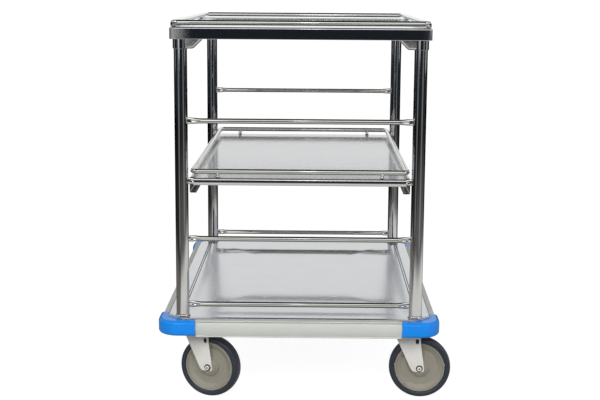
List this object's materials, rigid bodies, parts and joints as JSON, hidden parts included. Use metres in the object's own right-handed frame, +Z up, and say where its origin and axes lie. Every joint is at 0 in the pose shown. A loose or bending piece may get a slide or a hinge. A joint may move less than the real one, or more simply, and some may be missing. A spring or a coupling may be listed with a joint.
{
  "type": "hotel luggage cart",
  "caption": "Open shelf cart: bumpered deck on swivel casters, round posts with end rungs, a lift-off middle shelf and a top tray, both trays with rod gallery rails.",
  "frame": {"origin": "on the floor, under the middle of the cart's footprint", "axes": "+Z up, +Y from the front end to the rear end along the cart's length, +X across to the right seen from the front end"},
  "size_m": [0.7532, 0.984, 0.927],
  "materials": {
    "polished_steel": "polished",
    "brushed_steel": "satin",
    "stamped_steel": "matt plated",
    "bumper_plastic": "matt",
    "blue_plastic": "gloss",
    "wheel_plastic": "matt",
    "tyre_rubber": "matt"
  },
  "bodies": {
    "cart": {"deck_pan": "brushed_steel", "underframe": "stamped_steel", "bumper_front": "bumper_plastic", "bumper_rear": "bumper_plastic", "bumper_right": "bumper_plastic", "bumper_left": "bumper_plastic", "bumper_corner_front_left": "blue_plastic", "post_front_left": "polished_steel", "bracket_front_left": "polished_steel", "bumper_corner_front_right": "blue_plastic", "post_front_right": "polished_steel", "bracket_front_right": "polished_steel", "bumper_corner_rear_left": "blue_plastic", "post_rear_left": "polished_steel", "bracket_rear_left": "polished_steel", "bumper_corner_rear_right": "blue_plastic", "post_rear_right": "polished_steel", "bracket_rear_right": "polished_steel", "rung_front_1": "polished_steel", "rung_rear_1": "polished_steel", "rung_front_2": "polished_steel", "rung_rear_2": "polished_steel", "rung_front_3": "polished_steel", "rung_rear_3": "polished_steel", "rung_front_4": "polished_steel", "rung_rear_4": "polished_steel", "top_tray": "polished_steel", "top_gallery_rail": "polished_steel", "caster_front_left_plate": "stamped_steel", "caster_front_left_king_pin": "stamped_steel", "caster_front_right_plate": "stamped_steel", "caster_front_right_king_pin": "stamped_steel", "caster_rear_left_plate": "stamped_steel", "caster_rear_left_king_pin": "stamped_steel", "caster_rear_right_plate": "stamped_steel", "caster_rear_right_king_pin": "stamped_steel"},
    "shelf": {"shelf_tray": "polished_steel", "shelf_gallery_rail": "polished_steel"},
    "caster_front_left": {"caster_front_left_fork": "stamped_steel", "caster_front_left_axle_bolt": "stamped_steel", "caster_front_left_bush": "stamped_steel"},
    "wheel_front_left": {"caster_front_left_wheel_core": "wheel_plastic", "caster_front_left_tyre": "tyre_rubber"},
    "caster_front_right": {"caster_front_right_fork": "stamped_steel", "caster_front_right_axle_bolt": "stamped_steel", "caster_front_right_bush": "stamped_steel"},
    "wheel_front_right": {"caster_front_right_wheel_core": "wheel_plastic", "caster_front_right_tyre": "tyre_rubber"},
    "caster_rear_left": {"caster_rear_left_fork": "stamped_steel", "caster_rear_left_axle_bolt": "stamped_steel", "caster_rear_left_bush": "stamped_steel"},
    "wheel_rear_left": {"caster_rear_left_wheel_core": "wheel_plastic", "caster_rear_left_tyre": "tyre_rubber"},
    "caster_rear_right": {"caster_rear_right_fork": "stamped_steel", "caster_rear_right_axle_bolt": "stamped_steel", "caster_rear_right_bush": "stamped_steel"},
    "wheel_rear_right": {"caster_rear_right_wheel_core": "wheel_plastic", "caster_rear_right_tyre": "tyre_rubber"}
  },
  "joints": [
    {"name": "shelf_lift", "type": "slide", "parent": "cart", "child": "shelf", "axis": [0, 0, 1], "range_m": [0, 0.05]},
    {"name": "swivel_front_left", "type": "hinge", "parent": "cart", "child": "caster_front_left", "pos_m": [-0.2584, -0.401, 0.162], "axis": [0, 0, 1], "continuous": true},
    {"name": "roll_front_left", "type": "hinge", "parent": "caster_front_left", "child": "wheel_front_left", "pos_m": [-0.21846, -0.41398, 0.0762], "axis": [0.309, 0.9511, 0], "continuous": true},
    {"name": "swivel_front_right", "type": "hinge", "parent": "cart", "child": "caster_front_right", "pos_m": [0.2584, -0.401, 0.162], "axis": [0, 0, 1], "continuous": true},
    {"name": "roll_front_right", "type": "hinge", "parent": "caster_front_right", "child": "wheel_front_right", "pos_m": [0.30024, -0.40466, 0.0762], "axis": [0.0872, 0.9962, 0], "continuous": true},
    {"name": "swivel_rear_left", "type": "hinge", "parent": "cart", "child": "caster_rear_left", "pos_m": [-0.2584, 0.401, 0.162], "axis": [0, 0, 1], "continuous": true},
    {"name": "roll_rear_left", "type": "hinge", "parent": "caster_rear_left", "child": "wheel_rear_left", "pos_m": [-0.30024, 0.40466, 0.0762], "axis": [-0.0872, -0.9962, 0], "continuous": true},
    {"name": "swivel_rear_right", "type": "hinge", "parent": "cart", "child": "caster_rear_right", "pos_m": [0.2584, 0.401, 0.162], "axis": [0, 0, 1], "continuous": true},
    {"name": "roll_rear_right", "type": "hinge", "parent": "caster_rear_right", "child": "wheel_rear_right", "pos_m": [0.21846, 0.41398, 0.0762], "axis": [-0.309, -0.9511, 0], "continuous": true}
  ]
}
